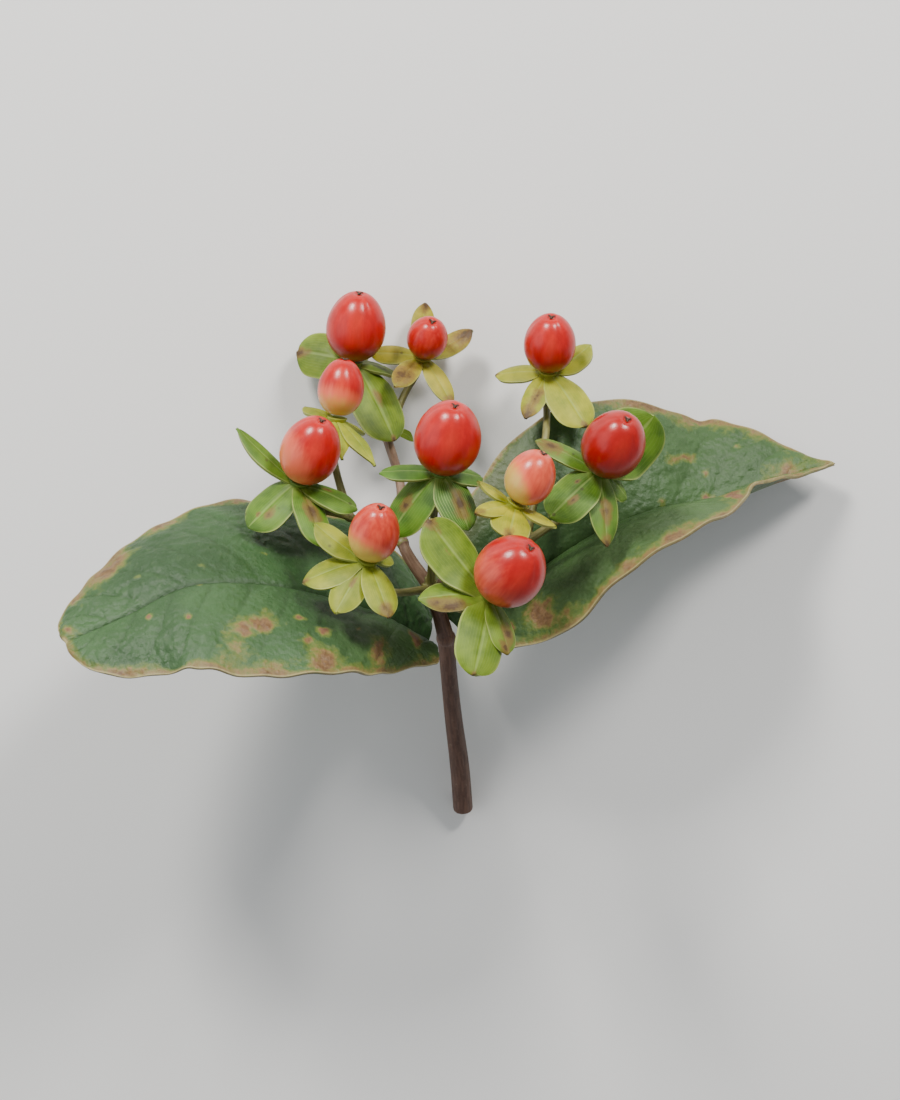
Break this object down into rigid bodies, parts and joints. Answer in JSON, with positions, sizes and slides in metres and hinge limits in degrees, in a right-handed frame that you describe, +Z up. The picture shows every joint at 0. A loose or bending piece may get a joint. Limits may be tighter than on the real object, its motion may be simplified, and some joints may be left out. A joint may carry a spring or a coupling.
{
  "type": "hypericum berry stem",
  "caption": "Cut hypericum stem with egg-shaped red berries in leafy calyces over one pair of broad spotted leaves, lying down.",
  "frame": {"origin": "centre of the bounding box, on the surface that the stem lies on", "axes": "+X to the right of the picture, +Y from the cut end towards the berries, +Z up from the surface"},
  "size_m": [0.1226, 0.0882, 0.0544],
  "materials": {
    "bark": "matt red-brown bark",
    "leaf": "waxy dark green leaf, stands in for plant tissue",
    "sepal_green": "soft green sepal, stands in for plant tissue",
    "sepal_yellow": "yellow-green sepal, stands in for plant tissue",
    "berry": "glossy waxy berry skin, stands in for fruit",
    "style": "dry dark brown style"
  },
  "bodies": {
    "root": {"stem": "bark", "leaf_left": "leaf", "leaf_right": "leaf", "bract": "sepal_green", "berry_1": "berry", "berry_2": "berry", "berry_3": "berry", "berry_4": "berry", "berry_5": "berry", "berry_6": "berry", "berry_7": "berry", "berry_8": "berry", "berry_9": "berry", "berry_10": "berry", "calyx_1": "sepal_green", "calyx_2": "sepal_yellow", "calyx_3": "sepal_yellow", "calyx_4": "sepal_yellow", "calyx_5": "sepal_green", "calyx_6": "sepal_green", "calyx_7": "sepal_green", "calyx_8": "sepal_yellow", "calyx_9": "sepal_yellow", "calyx_10": "sepal_green", "style_1": "style", "style_2": "style", "style_3": "style", "style_4": "style", "style_5": "style", "style_6": "style", "style_7": "style", "style_8": "style", "style_9": "style", "style_10": "style"}
  },
  "joints": []
}
